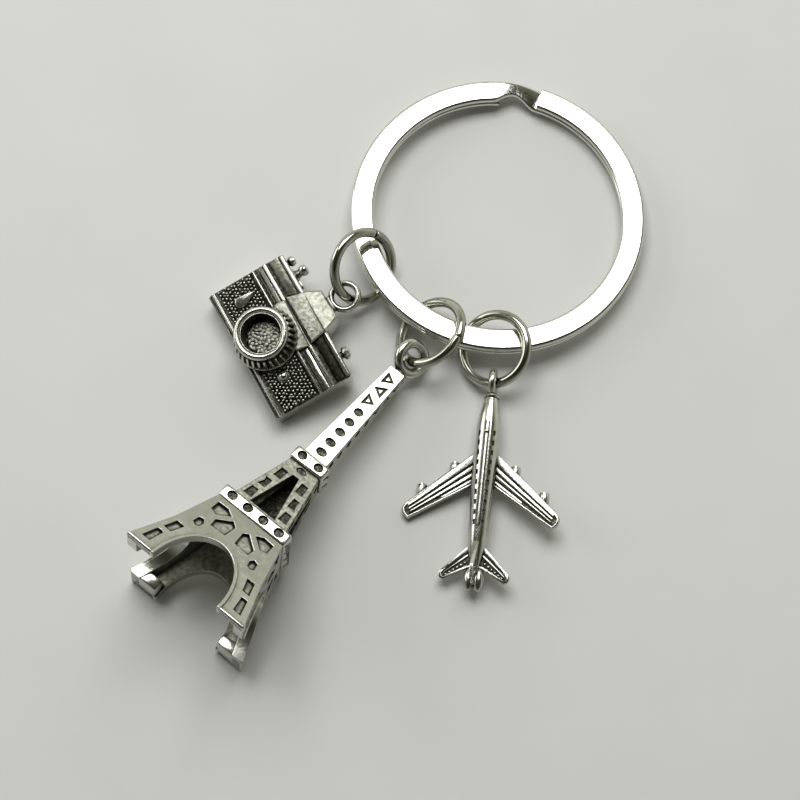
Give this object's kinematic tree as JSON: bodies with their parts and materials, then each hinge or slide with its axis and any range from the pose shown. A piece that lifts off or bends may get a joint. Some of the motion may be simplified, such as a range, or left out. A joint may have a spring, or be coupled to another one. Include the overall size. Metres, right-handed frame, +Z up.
{
  "type": "keychain",
  "caption": "Souvenir keychain: flat split key ring carrying antique silver camera, lattice tower and airliner charms on jump rings, lying flat.",
  "frame": {"origin": "on the table, under the middle of the whole keychain as it lies spread out", "axes": "+Z up from the table, +Y along the table towards the key ring, +X to the right seen from above with the key ring away from the viewer"},
  "size_m": [0.0512, 0.0614, 0.0143],
  "materials": {
    "nickel": "polished nickel plate over steel wire",
    "antique_silver": "antique silver plate over cast zinc, blackened in the recesses and rubbed bright on the raised parts"
  },
  "bodies": {
    "key_ring": {"key_ring": "nickel"},
    "camera_jump_ring": {"camera_jump_ring": "nickel"},
    "camera_charm": {"camera_charm": "antique_silver"},
    "tower_jump_ring": {"tower_jump_ring": "nickel"},
    "tower_charm": {"tower_charm": "antique_silver"},
    "plane_jump_ring": {"plane_jump_ring": "nickel"},
    "plane_charm": {"plane_charm": "antique_silver"}
  },
  "joints": [
    {"name": "camera_ring_travel", "type": "hinge", "parent": "key_ring", "child": "camera_jump_ring", "pos_m": [0.01056, 0.01574, 0.00185], "axis": [0.0404, 0.0481, 0.998], "range_deg": [-30, 0]},
    {"name": "tower_ring_travel", "type": "hinge", "parent": "key_ring", "child": "tower_jump_ring", "pos_m": [0.01056, 0.01574, 0.00185], "axis": [0.0404, 0.0481, 0.998], "range_deg": [0, 4]},
    {"name": "plane_ring_travel", "type": "hinge", "parent": "key_ring", "child": "plane_jump_ring", "pos_m": [0.01056, 0.01574, 0.00185], "axis": [0.0404, 0.0481, 0.998], "range_deg": [0, 15]},
    {"name": "camera_swing", "type": "hinge", "parent": "camera_jump_ring", "child": "camera_charm", "pos_m": [-0.00492, 0.00654, 0.00311], "axis": [0.6182, -0.2816, -0.7338], "range_deg": [-20, 0]},
    {"name": "tower_swing", "type": "hinge", "parent": "tower_jump_ring", "child": "tower_charm", "pos_m": [0.00157, 0.00009, 0.00216], "axis": [0.6197, -0.5528, 0.5571], "range_deg": [-60, 0]},
    {"name": "plane_swing", "type": "hinge", "parent": "plane_jump_ring", "child": "plane_charm", "pos_m": [0.00986, -0.00221, 0.00182], "axis": [0.8864, -0.097, 0.4527], "range_deg": [-40, 0]}
  ]
}
